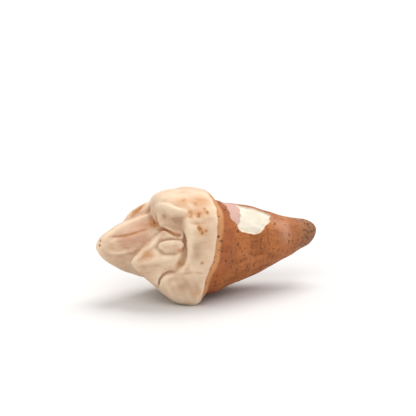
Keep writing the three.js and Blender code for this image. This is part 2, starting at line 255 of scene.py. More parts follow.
def mark_height(p):
    """Cube root of the summed cubes of the crests, less the same for the grooves."""
    crest, groove = np.zeros(p.shape[:-1]), np.zeros(p.shape[:-1])
    for rise, half_width, points in MARKS.values():
        height = (abs(rise) * stroke(p, points, half_width)) ** 3
        crest, groove = (crest + height, groove) if rise > 0 else (crest, groove + height)
    return np.cbrt(crest) - np.cbrt(groove)


print("crests and grooves:", len(MARKS))

# %% [markdown]
# ## Neck, collar and chip
# The enamel ends in a thin step, the root beside it keeps a collar of cement, and a flake has spalled off
# the top of the root, with a shallow ledge beside the collar and a deeper floor. They could be cut with
# booleans, but outlines drawn on the unrolled surface are easier to change: x against the angle from the
# top towards the tongue's side. The distance to an outline gives both the relief and a mask for colour.

# %% Outlines on the unrolled surface
NECK_LINE = np.array([
    # angle in degrees, x
    (0, -0.3), (21, -0.25), (35, -0.3), (52, -0.8), (68, -1.2), (82, -1.6), (96, -1.8), (108, -2.4),
    (130, -3.3), (180, -1.6), (210, 1.8), (232, 3.4), (254, 2.4), (280, 1.5), (315, 0.8), (360, -0.3),
], float)
COLLAR_LINE = np.array([(0, 2.8), (23, 2.4), (45, 2.6), (70, 2.8), (110, 2.2), (360, 2.2)], float)
CHIP_OUTLINE = np.array([
    # x, angle in degrees
    (3.1, 16), (2.5, 42), (3.3, 47), (3.6, 54), (4.2, 59), (5.9, 62), (7.2, 65), (8.2, 61), (9.2, 52),
    (10.3, 40), (11.1, 22), (10.6, 14), (9.2, 8), (7.6, 5), (6.2, 2), (5.2, -8), (4.4, -20),
    (3.4, -14), (3.0, 4),
], float)
# angle in degrees, x of the edge of the shallow ledge
CHIP_LEDGE = np.array([(9, 5.8), (29, 5.0), (41, 4.3), (50, 3.6)], float)
CHIP_RADIUS, ROOT_AXIS_Z = 5.6, -0.4
NECK_STEP, COLLAR_RISE, CHIP_DEPTH, LEDGE_DEPTH = 0.12, 0.12, 0.38, 0.20
NECK_RAGGED, CHIP_RAGGED, LEDGE_RAGGED = 0.12, 0.16, 0.15
FLAKE_GRAIN, FLAKE_SWELL, TOOTH_GRAIN, TOOTH_SWELL = 0.03, 0.06, 0.01, 0.04
print("chip:", len(CHIP_OUTLINE), "corners,", CHIP_DEPTH, "mm deep")


# %% Distances to the outlines
def smooth_step(low, high, value):
    """0 below low, 1 above high, and 3 t^2 - 2 t^3 between."""
    t = np.clip((value - low) / (high - low), 0, 1)
    return t * t * (3 - 2 * t)


def angle_around(p):
    """Degrees around the root's axis, from the top towards the tongue's side, 0 to 360."""
    return np.degrees(np.arctan2(-p[..., 1], p[..., 2] - ROOT_AXIS_Z)) % 360


def ripple(p, wave, seed):
    """Mean of six sine waves of one wavelength in seeded directions, scaled to about -1 to 1: a cheap,
    smooth unevenness."""
    rng = np.random.default_rng(seed)
    directions = rng.normal(size=(6, 3))
    directions /= np.linalg.norm(directions, axis=1, keepdims=True)
    phases = rng.uniform(0, 2 * np.pi, 6)
    return np.sin(p @ directions.T * (2 * np.pi / wave) + phases).mean(-1) * 1.7


def past_neck(p):
    """Millimetres past the enamel's edge, towards the root."""
    edge = curve_through(angle_around(p), NECK_LINE[:, 0], NECK_LINE[:, 1])
    return p[..., 0] - edge + NECK_RAGGED * ripple(p, 1.6, 5)


def inside_chip(p):
    """Signed distance in millimetres to the chip's outline, positive inside: the shortest way to any side,
    with the sign from counting the sides that a straight line crosses."""
    turn = (angle_around(p) + 180) % 360 - 180
    scale = np.radians(1) * CHIP_RADIUS
    x = p[..., 0] + CHIP_RAGGED * ripple(p, 1.1, 7)
    a = turn * scale + CHIP_RAGGED * ripple(p, 1.3, 8)
    corners = CHIP_OUTLINE * (1, scale)
    nearest = np.full(x.shape, 1e9)
    inside = np.zeros(x.shape, bool)
    for (x0, a0), (x1, a1) in zip(corners, np.roll(corners, -1, 0)):
        way_x, way_a = x1 - x0, a1 - a0
        share = np.clip(((x - x0) * way_x + (a - a0) * way_a) / (way_x ** 2 + way_a ** 2), 0, 1)
        nearest = np.minimum(nearest, np.hypot(x - x0 - share * way_x, a - a0 - share * way_a))
        crosses = ((a0 > a) != (a1 > a)) & (x < x0 + way_x * (a - a0) / (way_a + 1e-9))
        inside ^= crosses
    return np.where(inside, nearest, -nearest)


def past_ledge(p):
    """Millimetres past the edge between the chip's shallow ledge and its deeper floor."""
    turn = (angle_around(p) + 180) % 360 - 180
    edge = np.interp(turn, CHIP_LEDGE[:, 0], CHIP_LEDGE[:, 1])
    return p[..., 0] - edge + LEDGE_RAGGED * ripple(p, 1.2, 13)


under_neck = np.array([[0.0, 0.0, FLOOR_Z]])
print("the floor under the neck lies", past_neck(under_neck).round(2)[0], "mm past the enamel")


# %% Everything drawn on the lumps
def relief(p):
    """Outward height in millimetres of everything drawn on the lumps."""
    past = past_neck(p)
    step = -NECK_STEP * smooth_step(0, 0.3, past) * (1 - smooth_step(0.3, 3.0, past))
    angle = angle_around(p)
    collar_edge = curve_through(angle, COLLAR_LINE[:, 0], COLLAR_LINE[:, 1])
    collar = smooth_step(0.2, 2.6, past) * (1 - smooth_step(-0.15, 0.15, p[..., 0] - collar_edge))
    collar = collar * COLLAR_RISE * (1 - smooth_step(70, 100, angle))
    chip = smooth_step(-0.12, 0.14, inside_chip(p))
    depth = LEDGE_DEPTH + (CHIP_DEPTH - LEDGE_DEPTH) * smooth_step(-0.1, 0.1, past_ledge(p))
    flake = chip * (FLAKE_GRAIN * ripple(p, 0.9, 9) + FLAKE_SWELL * ripple(p, 2.6, 10) - depth)
    uneven = TOOTH_SWELL * ripple(p, 3.1, 11) + TOOTH_GRAIN * ripple(p, 1.2, 12)
    return mark_height(p) + step + collar + flake + uneven


print("neck step", NECK_STEP, "mm, collar", COLLAR_RISE, "mm, ledge", LEDGE_DEPTH, "mm")

# %% [markdown]
# ## From field to grid
# The surface is a function of two parameters: u turns around the tooth and v runs from the crown's pole to
# the root's pole. Each (u, v) names a ray that leaves a spine inside the tooth, and the surface is where
# the field on that ray turns from inside to outside. Remeshing the field in cubes would be simpler, but it
# gives no tidy rings to smooth along. First a trial grid is walked, to space the rings evenly.

# %% Rays and where they leave the tooth
SPINE_START, SPINE_END = np.array([-2.2, 0.2, -0.6]), np.array([17.5, 0.0, -0.4])
CROWN_SHARE, ROOT_SHARE = 0.58, 0.95
REACH, COARSE_STEPS, FINE_STEPS = 24.0, 48, 12
TRIAL_COLUMNS, TRIAL_ROWS = 60, 160


def rays(u, v):
    """Starts and directions: a fan from the spine's start for small v, then square to the spine, then a fan
    from its end."""
    turn = np.clip(v / CROWN_SHARE, 0, 1) + np.clip((v - ROOT_SHARE) / (1 - ROOT_SHARE), 0, 1)
    turn = turn[:, None] * np.pi / 2
    along = np.clip((v - CROWN_SHARE) / (ROOT_SHARE - CROWN_SHARE), 0, 1)[:, None, None]
    start = SPINE_START + along * (SPINE_END - SPINE_START) + np.zeros((1, len(u), 1))
    around = 2 * np.pi * u[None, :]
    direction = np.stack(np.broadcast_arrays(-np.cos(turn), np.sin(turn) * np.cos(around),
                                             np.sin(turn) * np.sin(around)), axis=-1)
    return start, direction


def leave(start, direction, field, near, far):
    """Halves the span between near (inside) and far (outside) until it brackets the surface closely."""
    for _ in range(FINE_STEPS):
        middle = (near + far) / 2
        outside = field(start + direction * middle[..., None]) > 0
        near, far = np.where(outside, near, middle), np.where(outside, middle, far)
    return (near + far) / 2


def lump_distance(start, direction):
    """Distance along each ray to the lumps' surface: equal steps outwards to the first one outside, and
    then halving."""
    step = REACH / COARSE_STEPS
    steps_taken = np.full(start.shape[:-1], COARSE_STEPS)
    for k in range(COARSE_STEPS, 0, -1):
        steps_taken = np.where(lump_field(start + direction * (k * step)) > 0, k, steps_taken)
    far = steps_taken * step
    return leave(start, direction, lump_field, far - step, far)


def even_rows(count):
    """Values of v at which rings lie equally far apart, by the mean way walked along the surface."""
    u = np.arange(TRIAL_COLUMNS) / TRIAL_COLUMNS
    v = (np.arange(TRIAL_ROWS) + 0.5) / TRIAL_ROWS
    start, direction = rays(u, v)
    p = start + direction * lump_distance(start, direction)[..., None]
    gaps = np.sqrt((np.diff(p, axis=0) ** 2).sum(-1).mean(1))
    walked = np.concatenate([[0], np.cumsum(gaps)])
    return np.interp((np.arange(count) + 0.5) / count * walked[-1], walked, v)


print("spine from", SPINE_START, "to", SPINE_END, "mm")

# %% The grid of rays
COLUMNS, ROWS = 330, 300
u, v = np.arange(COLUMNS) / COLUMNS, even_rows(ROWS)
start, direction = rays(u, v)
lump = lump_distance(start, direction)
print("lumps reach", lump.min().round(2), "to", lump.max().round(2), "mm from the spine")

# %% Press the relief into the grid and set it on the floor
DEEPEST, HIGHEST = 1.8, 1.0


def tooth_field(p):
    """The lumps' field less the height of the relief, so it is zero on the finished surface."""
    return lump_field(p) - relief(p)


distance = leave(start, direction, tooth_field, np.maximum(lump - DEEPEST, 0), lump + HIGHEST)
surface = start + direction * distance[..., None]
surface[..., 2] = np.maximum(surface[..., 2], FLOOR_Z)
print("tooth from", surface.min((0, 1)).round(2), "to", surface.max((0, 1)).round(2), "mm")

# %% [markdown]
# ## Masks for the finish
# Colour on this tooth follows its shape: stain gathers in fissures, crests are paler, hollows and folds are
# darkened as painted shade, and the chip is white. The masks could be painted by hand, but then they would
# have to be painted again after each change of shape, so they are worked out on the same grid and stored as
# attributes of the mesh. Hollows and crests come from comparing the grid with a much smoothed copy of
# itself, sharp folds with a little smoothed one.

# %% Hollows, crests and zones
def smoothed(grid, rounds):
    """Each round replaces a point by the mean of itself and its four neighbours; rings wrap around."""
    for _ in range(rounds):
        above, below = np.concatenate([grid[:1], grid[:-1]]), np.concatenate([grid[1:], grid[-1:]])
        grid = (grid + above + below + np.roll(grid, 1, 1) + np.roll(grid, -1, 1)) / 5
    return grid


def outward_normals(grid):
    """Cross product of the steps around and along the grid, made one unit long."""
    around = np.roll(grid, -1, 1) - np.roll(grid, 1, 1)
    along = np.gradient(grid, axis=0)
    normal = np.cross(around, along)
    return normal / (np.linalg.norm(normal, axis=-1, keepdims=True) + 1e-12)


normals = outward_normals(smoothed(surface, 2))
if (normals * (surface - surface.mean((0, 1)))).sum() < 0:
    normals = -normals


def sunk_below(rounds):
    """How far each point lies under a copy of the grid smoothed for so many rounds, in millimetres."""
    return smoothed(((smoothed(surface, rounds) - surface) * normals).sum(-1), 2)


# hollow and fold later darken the enamel as painted shade; crest makes it paler
WIDE_ROUNDS, WIDE_DEPTH = 30, 0.12
NARROW_ROUNDS, NARROW_DEPTH = 6, 0.03
sunk = sunk_below(WIDE_ROUNDS)
hollow = np.clip(sunk / WIDE_DEPTH, 0, 1)
crest = np.clip(-sunk / WIDE_DEPTH, 0, 1)
fold = np.clip(sunk_below(NARROW_ROUNDS) / NARROW_DEPTH, -1, 1)
past = past_neck(surface)
chip = smooth_step(-0.10, 0.06, inside_chip(surface))
ledge = 1 - smooth_step(-0.15, 0.15, past_ledge(surface))
print("mean hollow", hollow.mean().round(3), "and crest", crest.mean().round(3))
print("share of the grid in the chip", chip.mean().round(4))

# %% [markdown]
# ## Stains, tints and painted shade
# Brown stain runs along the fissures and sits in small specks on the upper lobe and the tongue wall. Other
# patches are only a little warmer, greyer, rosier or paler than what is around them. The grey ones are
# partly the tone of a worn facet and partly painted shade on faces turned down or inwards: under the main
# cusp and the lower lobes, on the upper lobe's inner slope and in the valley by the tongue wall. They could
# be painted by hand on a texture; here each is a place with a size and a strength, spread by the strokes'
# bell curve.

# %% Stain along fissures, specks, and patches of tint and painted shade
STAIN_LINES = [
    # strength, half width, points
    (1.00, 0.90, [(-9.4, 0.8, 4.5), (-9.1, 0.4, 4.6), (-9.0, 0.2, 4.0), (-8.9, -0.2, 3.4)]),
    (0.60, 0.36, [(-14.4, 1.4, 2.4), (-13.1, 0.8, 2.7), (-11.5, 0.5, 3.0), (-9.7, 0.2, 3.4)]),
    (0.85, 0.60, [(-8.6, -0.3, 3.2), (-7.6, -1.8, 3.5), (-7.1, -2.9, 3.4), (-6.8, -3.6, 3.0),
                  (-6.2, -4.3, 3.2)]),
    (0.50, 0.36, [(-9.5, -3.4, -4.6), (-9.4, -3.7, -3.8), (-9.0, -4.1, -3.1), (-8.4, -4.4, -2.8)]),
    (0.90, 0.60, [(-7.6, -5.2, 0.8), (-7.0, -5.3, 0.8), (-6.4, -5.0, 1.1)]),
    (0.70, 0.50, [(-11.2, 5.8, 4.2), (-10.4, 5.7, 4.9), (-9.4, 5.6, 5.5), (-8.7, 5.4, 6.1),
                  (-8.1, 5.1, 6.4)]),
    (0.45, 0.34, [(-12.2, -2.6, 1.1), (-13.0, -2.4, 0.3), (-13.7, -2.0, -0.6)]),
    (0.28, 0.20, [(-7.0, -6.1, -3.1), (-5.8, -6.7, -2.7), (-4.1, -6.8, -2.9), (-2.7, -6.8, -3.1)]),
    (0.38, 0.20, [(-3.9, -3.2, 8.6), (-3.4, -3.4, 8.5), (-1.7, -3.6, 8.3), (-0.7, -3.8, 7.9)]),
    (0.40, 0.16, [(1.2, 8.6, 0.6), (-3.0, 9.6, 0.9), (-7.0, 9.4, 0.4), (-10.5, 8.2, 0.8)]),
    (0.90, 0.14, [(8.0, -4.8, 2.0), (10.7, -4.2, 1.6), (13.4, -3.6, 1.1), (16.1, -2.8, 0.6)]),
    (0.90, 0.18, [(2.6, -5.0, 4.6), (2.7, -5.7, 3.4), (2.7, -6.2, 1.8), (2.9, -6.5, 0.6)]),
    (0.85, 0.14, [(3.6, 5.6, 4.0), (8.0, 4.2, 3.2), (12.4, 3.4, 2.0)]),
]
SPECKS = np.array([
    # x, y, z, radius, strength
    (-3.6, -4.1, 8.0, 0.40, 0.80), (-5.0, -5.1, 7.0, 0.40, 0.75), (-3.6, -5.5, 6.6, 0.34, 0.85),
    (-5.2, -5.7, 6.4, 0.48, 0.85), (-3.9, -5.8, 6.3, 0.38, 0.95), (-2.4, -5.0, 7.2, 0.30, 0.80),
    (-2.2, -5.6, 6.7, 0.38, 0.85), (-5.3, -3.3, 8.6, 0.50, 0.60), (-4.0, -6.8, 4.5, 0.46, 0.85),
    (-3.7, -6.9, 3.8, 0.36, 0.85), (-2.9, -6.8, 4.0, 0.28, 1.00), (-4.2, -6.7, 4.7, 0.34, 0.60),
    (-3.8, -7.1, -1.2, 0.28, 0.85), (-17.3, 3.1, 1.6, 0.26, 1.00), (-17.5, 2.9, 0.9, 0.26, 1.00),
    (5.2, -5.6, 0.5, 0.32, 0.95), (7.9, -5.1, -1.1, 0.36, 1.00), (7.2, -4.5, -3.6, 0.30, 1.00),
    (7.9, -4.2, -4.0, 0.32, 1.00), (3.0, -6.0, -2.2, 0.34, 0.95), (2.3, -5.9, -3.0, 0.28, 0.85),
    (3.9, -5.3, -3.7, 0.36, 0.95), (10.2, -4.4, -1.6, 0.30, 0.85), (12.9, -3.5, -1.9, 0.32, 0.85),
    (12.6, -2.4, -3.9, 0.28, 0.80), (5.9, -5.4, 1.2, 0.26, 0.75), (1.0, -6.9, -0.4, 0.24, 0.60),
    (15.7, -2.2, 1.9, 0.34, 0.80), (17.2, -2.4, 0.1, 0.34, 0.80), (15.8, -2.7, 1.2, 0.30, 0.70),
    (17.4, -1.4, 1.9, 0.36, 0.80), (16.3, -2.7, -0.3, 0.30, 0.70), (18.0, -2.1, -0.8, 0.34, 0.75),
])
WARM_PATCHES = np.array([
    (-12.0, -3.2, 0.4, 0.6, 1.0), (-11.4, -3.7, 0.2, 0.6, 0.9), (-6.6, -3.1, 8.6, 1.1, 0.6),
    (-5.4, -3.5, 8.4, 1.1, 0.9), (-3.2, -3.5, 8.4, 1.3, 0.9), (-1.8, -3.8, 8.1, 1.2, 0.8),
    (-4.6, -6.4, -6.5, 0.9, 0.7), (-6.9, -5.5, -1.3, 0.8, 0.8), (0.1, -6.1, -5.0, 1.9, 1.0),
    (-4.8, -5.5, 6.7, 1.0, 0.80), (-3.0, -5.5, 6.8, 1.0, 0.85), (-3.6, -6.9, 4.2, 1.0, 0.95),
    (-3.8, -7.1, -1.2, 0.5, 0.50),
])
# grey: the first three are a worn facet's own tone, the rest painted shade on faces turned down or inwards
GREY_WEAR_AND_SHADE_PATCHES = np.array([
    (-4.7, -7.0, 1.8, 1.0, 0.45), (-4.8, -7.0, 0.7, 1.1, 0.5), (-4.8, -7.0, -0.3, 1.0, 0.45),
    (-7.6, -3.0, 5.6, 1.6, 0.3), (-5.8, -3.8, 4.4, 1.0, 0.7), (-13.8, 1.0, -2.3, 2.6, 0.3),
    (-6.0, -4.9, 2.4, 0.9, 0.5), (-6.8, -5.8, -4.6, 1.7, 0.9), (-4.8, -6.5, -5.4, 1.6, 0.7),
])
PALE_PATCHES = np.array([
    (12.9, -3.2, 2.2, 1.6, 0.9), (13.3, -3.7, 0.3, 1.2, 0.6), (10.6, -2.8, 3.6, 1.2, 0.5),
])
ROSY_PATCHES = np.array([
    (-14.6, 1.4, 2.4, 1.3, 0.8), (-12.0, 0.9, 3.4, 1.7, 0.9), (-13.6, 0.3, 1.3, 1.3, 1.0),
    (-11.6, -0.1, 1.8, 1.4, 0.9), (-10.0, 5.0, 5.6, 2.0, 0.9), (-9.8, 0.8, 4.4, 1.5, 0.8),
])


def patches(p, places):
    """Sum of bells, strength times exp(-(distance / radius) squared), kept at or below 1."""
    total = np.zeros(p.shape[:-1])
    for x, y, z, radius, strength in places:
        total += strength * np.exp(-((p - (x, y, z)) ** 2).sum(-1) / radius ** 2)
    return np.clip(total, 0, 1)


stain = patches(surface, SPECKS)
for strength, half_width, points in STAIN_LINES:
    stain = np.maximum(stain, strength * stroke(surface, points, half_width))
warm, grey = patches(surface, WARM_PATCHES), patches(surface, GREY_WEAR_AND_SHADE_PATCHES)
rosy, pale = patches(surface, ROSY_PATCHES), patches(surface, PALE_PATCHES)
print("stained share", (stain > 0.3).mean().round(4))

# %% [markdown]
# ## The mesh
# The grid becomes quads with one fan of triangles at each pole, so the mesh is closed and has no seam.
# Points could be added one by one with bmesh, but whole arrays go in faster through `from_pydata` and
# `foreach_set`, and nothing loops over vertices.

# %% Build the mesh and store the masks
def close_grid(grid):
    """Rows of points followed by the two poles, with quads between rows and triangles at the poles."""
    rows, columns = grid.shape[:2]
    index = np.arange(rows * columns).reshape(rows, columns)
    turned = np.roll(index, -1, 1)
    quads = np.stack([index[:-1], turned[:-1], turned[1:], index[1:]], -1).reshape(-1, 4)
    first, last = rows * columns, rows * columns + 1
    crown_fan = np.stack([np.full(columns, first), turned[0], index[0]], -1)
    root_fan = np.stack([np.full(columns, last), index[-1], turned[-1]], -1)
    points = np.vstack([grid.reshape(-1, 3), grid[0].mean(0), grid[-1].mean(0)])
    return points, quads.tolist() + crown_fan.tolist() + root_fan.tolist()


METRES_PER_MM = 0.001
points, faces = close_grid((surface + NECK_IN_FRAME) * METRES_PER_MM)
tooth_mesh = bpy.data.meshes.new("fossil_tooth")
tooth_mesh.from_pydata(points.tolist(), [], faces)
tooth_mesh.polygons.foreach_set("use_smooth", np.ones(len(faces), bool))
masks = {"past": past, "chip": chip, "ledge": ledge, "stain": stain, "hollow": hollow, "crest": crest,
         "fold": fold, "warm": warm, "grey": grey, "rosy": rosy, "pale": pale}
for name, mask in masks.items():
    values = np.concatenate([mask.ravel(), [mask[0].mean(), mask[-1].mean()]]).astype(np.float32)
    tooth_mesh.attributes.new(name, "FLOAT", "POINT").data.foreach_set("value", values)
tooth_mesh.update()
tooth = bpy.data.objects.new("fossil_tooth", tooth_mesh)
bpy.context.scene.collection.objects.link(tooth)
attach(tooth, "root")
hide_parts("tooth")
print("tooth mesh:", len(points), "points,", len(faces), "faces")

# %% [markdown]
# ## Helpers for the finish
# Materials are node trees, and written out node by node they get long. A few helpers keep the cells short:
# they add a node with its values, mix two colours by a mask, do one step of arithmetic and map a range.
# Two effects come back several times, streaks and pits, so they are node groups with their own inputs.

# %% Node helpers
def add(tree, kind, values=None, **settings):
    """A new node with settings on the node and values on its inputs; a value may be a socket to link."""
    node = tree.nodes.new(kind)
    for key, value in settings.items():
        setattr(node, key, value)
    for key, value in (values or {}).items():
        if isinstance(value, bpy.types.NodeSocket):
            tree.links.new(value, node.inputs[key])
        else:
            node.inputs[key].default_value = value
    return node


def mix(tree, mask, low, high):
    """Colour that goes from low to high as the mask goes from 0 to 1."""
    node = add(tree, "ShaderNodeMix", data_type="RGBA")
    for socket, value in zip((node.inputs[0], node.inputs[6], node.inputs[7]), (mask, low, high)):
        if isinstance(value, bpy.types.NodeSocket):
            tree.links.new(value, socket)
        else:
            socket.default_value = value
    return node.outputs[2]


def math(tree, operation, a, b=0.0):
    """One arithmetic step on two values."""
    return add(tree, "ShaderNodeMath", {0: a, 1: b}, operation=operation).outputs[0]


def ramp(tree, value, low, high, to_low=0.0, to_high=1.0):
    """Smoothly maps low..high to to_low..to_high."""
    ends = {"Value": value, "From Min": low, "From Max": high, "To Min": to_low, "To Max": to_high}
    return add(tree, "ShaderNodeMapRange", ends, interpolation_type="SMOOTHSTEP").outputs["Result"]


def colour(red, green, blue):
    """Linear colour from the 0 to 255 values of a screen colour."""
    c = np.array([red, green, blue]) / 255
    linear = np.where(c <= 0.04045, c / 12.92, ((c + 0.055) / 1.055) ** 2.4)
    return (*linear.tolist(), 1.0)


print("node helpers ready")


# %% Streaks as a node group
def new_group(name, inputs, outputs):
    """An empty shader node group with the named sockets."""
    group = bpy.data.node_groups.new(name, "ShaderNodeTree")
    for label, kind, value in inputs:
        socket = group.interface.new_socket(label, in_out="INPUT", socket_type=kind)
        if value is not None:
            socket.default_value = value
    for label, kind in outputs:
        group.interface.new_socket(label, in_out="OUTPUT", socket_type=kind)
    return group, group.nodes.new("NodeGroupInput"), group.nodes.new("NodeGroupOutput")


streaks, given, result = new_group(
    "streaks", [("Place", "NodeSocketVector", None), ("Stretch", "NodeSocketVector", (1, 1, 1)),
                ("Detail", "NodeSocketFloat", 3.0)], [("Value", "NodeSocketFloat")])
stretched = add(streaks, "ShaderNodeVectorMath", {0: given.outputs["Place"], 1: given.outputs["Stretch"]},
                operation="MULTIPLY")
noise = add(streaks, "ShaderNodeTexNoise", {"Vector": stretched.outputs[0], "Scale": 1.0,
                                            "Detail": given.outputs["Detail"], "Roughness": 0.55})
streaks.links.new(noise.outputs["Fac"], result.inputs["Value"])
print("node group:", streaks.name)

# %% Pits as a node group
PIT_WOBBLE = (0.0007, 0.0007, 0.0007)
pits, given, result = new_group(
    "pits", [("Place", "NodeSocketVector", None), ("Scale", "NodeSocketFloat", 1000.0),
             ("Share", "NodeSocketFloat", 0.5), ("Size", "NodeSocketFloat", 0.3)],
    [("Mask", "NodeSocketFloat")])
place = given.outputs["Place"]
wobble = add(pits, "ShaderNodeTexNoise", {"Vector": place, "Scale": 1600.0, "Detail": 2.0})
wobble = add(pits, "ShaderNodeVectorMath", {0: wobble.outputs["Color"], 1: PIT_WOBBLE, 2: place},
             operation="MULTIPLY_ADD")
cells = add(pits, "ShaderNodeTexVoronoi", {"Vector": wobble.outputs[0], "Scale": given.outputs["Scale"]})
chance = add(pits, "ShaderNodeSeparateColor", {"Color": cells.outputs["Color"]})
size = math(pits, "MULTIPLY", chance.outputs["Green"], given.outputs["Size"])
size = math(pits, "ADD", size, 0.001)
hole = math(pits, "SUBTRACT", 1.0, math(pits, "DIVIDE", cells.outputs["Distance"], size))
kept = math(pits, "LESS_THAN", chance.outputs["Red"], given.outputs["Share"])
pits.links.new(math(pits, "MULTIPLY", ramp(pits, hole, 0.0, 0.6), kept), result.inputs["Mask"])


def use(tree, group, values):
    """Places a node group in a tree and returns its first output."""
    return add(tree, "ShaderNodeGroup", values, node_tree=group).outputs[0]


print("node group:", pits.name)

# %% [markdown]
# ## The finish of the tooth
# Enamel, root and chip could be three materials on three sets of faces, but their borders are soft and
# ragged. So one material holds all three and mixes them by the masks. Its patterns are worked out first:
# long streaks, clouds, rings around the root, fine lines, mottling and grain, from millimetres down.

# %% Patterns in the finish
finish = bpy.data.materials.new("fossil_tooth")
finish.use_nodes = True
tree = finish.node_tree
shader = tree.nodes["Principled BSDF"]
place = add(tree, "ShaderNodeTexCoord").outputs["Object"]
x_place = add(tree, "ShaderNodeSeparateXYZ", {0: place}).outputs["X"]
on_tooth = {name: add(tree, "ShaderNodeAttribute", attribute_name=name).outputs["Fac"] for name in masks}

lengthwise = use(tree, streaks, {"Place": place, "Stretch": (160, 900, 900), "Detail": 4.0})
clouds = use(tree, streaks, {"Place": place, "Stretch": (330, 330, 330), "Detail": 4.0})
rings = use(tree, streaks, {"Place": place, "Stretch": (1500, 110, 110), "Detail": 3.0})
grain = use(tree, streaks, {"Place": place, "Stretch": (2600, 2600, 2600), "Detail": 4.0})
fine_lines = use(tree, streaks, {"Place": place, "Stretch": (260, 2400, 2400), "Detail": 2.0})
mottle = use(tree, streaks, {"Place": place, "Stretch": (1500, 1500, 1500), "Detail": 3.0})


def part_of(mask, share):
    """A mask of the mesh, weakened to a share."""
    return math(tree, "MULTIPLY", on_tooth[mask], share)


def tinted(base, mask, red, green, blue):
    """The base colour, drawn towards a screen colour where the mask is strong."""
    return mix(tree, mask, base, colour(red, green, blue))


print("patterns and masks:", len(tree.nodes), "nodes")

# %% [markdown]
# ## Enamel
# Enamel is a warm ivory, rosier on the main cusp, paler on crests, sharp edges and beside the neck. Hollows
# get a grey-brown painted shade and the sharpest folds a darker one, and grey patches paint shade under the
# lobes and on the upper lobe's inner slope, besides the grey of a worn facet. Starting from clouds of two
# ivories, each line below lays one of these over the last, as a painter glazes.

# %% Colour of the enamel
lined = math(tree, "MAXIMUM", part_of("rosy", 0.6), part_of("warm", 0.6))
lined = math(tree, "MAXIMUM", lined, ramp(tree, clouds, 0.40, 0.60, 0.15, 0.45))
lined = math(tree, "MULTIPLY", lined, ramp(tree, fine_lines, 0.48, 0.70))
rosy_streaks = math(tree, "MULTIPLY", part_of("rosy", 0.75), ramp(tree, lengthwise, 0.3, 0.65, 0.5, 1.2))
beside_neck = ramp(tree, on_tooth["past"], -1.8, -0.2, 0.0, 0.5)
fold_painted_shade = ramp(tree, on_tooth["fold"], 0.1, 1.0, 0.0, 0.42)
sharp_edge = ramp(tree, on_tooth["fold"], -1.0, -0.1, 0.4, 0.0)

enamel_colour = mix(tree, ramp(tree, clouds, 0.35, 0.65), colour(220, 194, 165), colour(208, 176, 147))
enamel_colour = tinted(enamel_colour, ramp(tree, lengthwise, 0.48, 0.75, 0.0, 0.5), 186, 138, 104)
enamel_colour = tinted(enamel_colour, lined, 190, 146, 112)
enamel_colour = tinted(enamel_colour, rosy_streaks, 178, 126, 98)
enamel_colour = tinted(enamel_colour, beside_neck, 230, 202, 174)
# Grey: a worn facet's own tone, and painted shade on faces turned down or inwards
enamel_colour = tinted(enamel_colour, part_of("grey", 0.75), 168, 134, 104)
enamel_colour = tinted(enamel_colour, part_of("warm", 0.8), 196, 140, 90)
enamel_colour = tinted(enamel_colour, part_of("crest", 0.3), 228, 204, 176)
# Painted shade: hollows are darkened grey-brown
enamel_colour = tinted(enamel_colour, part_of("hollow", 0.36), 146, 104, 72)
# Painted shade: the sharpest folds are darkened most
enamel_colour = tinted(enamel_colour, fold_painted_shade, 140, 96, 64)
enamel_colour = tinted(enamel_colour, sharp_edge, 236, 212, 184)
print("with enamel:", len(tree.nodes), "nodes")

# %% [markdown]
# ## Root
# The root is a matt terracotta brown with fine rings and pits. Beside the enamel runs a light band of
# cement, then a redder one, and the tip is greyer and porous. The bands could be rings of x, but they
# follow the mask that counts millimetres past the enamel, so they keep to the neck's wavy line.

# %% Colour of the root
tip_share = ramp(tree, x_place, 0.0125, 0.0175)
red_band = math(tree, "MULTIPLY", ramp(tree, on_tooth["past"], 0.8, 1.8),
                ramp(tree, on_tooth["past"], 3.0, 4.5, 0.45, 0.0))
cement = math(tree, "MULTIPLY", ramp(tree, on_tooth["past"], 0.8, 1.4, 0.7, 0.0),
              ramp(tree, grain, 0.2, 0.45))
root_pits = use(tree, pits, {"Place": place, "Scale": 1500.0, "Share": 0.50, "Size": 0.52})
tip_pits = use(tree, pits, {"Place": place, "Scale": 2100.0, "Share": 0.85, "Size": 0.75})
root_pits = math(tree, "MAXIMUM", root_pits, math(tree, "MULTIPLY", tip_pits, tip_share))

root_colour = mix(tree, ramp(tree, lengthwise, 0.35, 0.7), colour(180, 108, 58), colour(152, 86, 38))
root_colour = tinted(root_colour, ramp(tree, clouds, 0.5, 0.75, 0.0, 0.5), 192, 124, 74)
root_colour = tinted(root_colour, ramp(tree, mottle, 0.50, 0.70, 0.0, 0.65), 122, 66, 30)
root_colour = tinted(root_colour, ramp(tree, rings, 0.48, 0.72, 0.0, 0.5), 124, 66, 30)
root_colour = tinted(root_colour, part_of("warm", 0.7), 176, 106, 36)
root_colour = tinted(root_colour, math(tree, "MULTIPLY", tip_share, 0.75), 146, 102, 74)
root_colour = tinted(root_colour, part_of("pale", 0.75), 204, 148, 118)
root_colour = tinted(root_colour, red_band, 152, 80, 46)
root_colour = tinted(root_colour, cement, 210, 152, 104)
root_colour = tinted(root_colour, math(tree, "MULTIPLY", root_pits, 0.8), 84, 46, 26)
print("with root:", len(tree.nodes), "nodes")

# %% [markdown]
# ## Chip, borders and stain
# The chip shows clean dentine, nearly white, and its shallow ledge is pink. Enamel, root and chip are mixed
# by their masks, and stain comes last because it lies over everything: a brown tint on the enamel, with a
# dark core. Grain breaks the stain up, so that no speck is a round dot.

# %% Colour of the chip and of the whole
chip_colour = mix(tree, ramp(tree, clouds, 0.4, 0.7), colour(226, 216, 198), colour(214, 200, 180))
chip_colour = tinted(chip_colour, on_tooth["ledge"], 198, 160, 147)

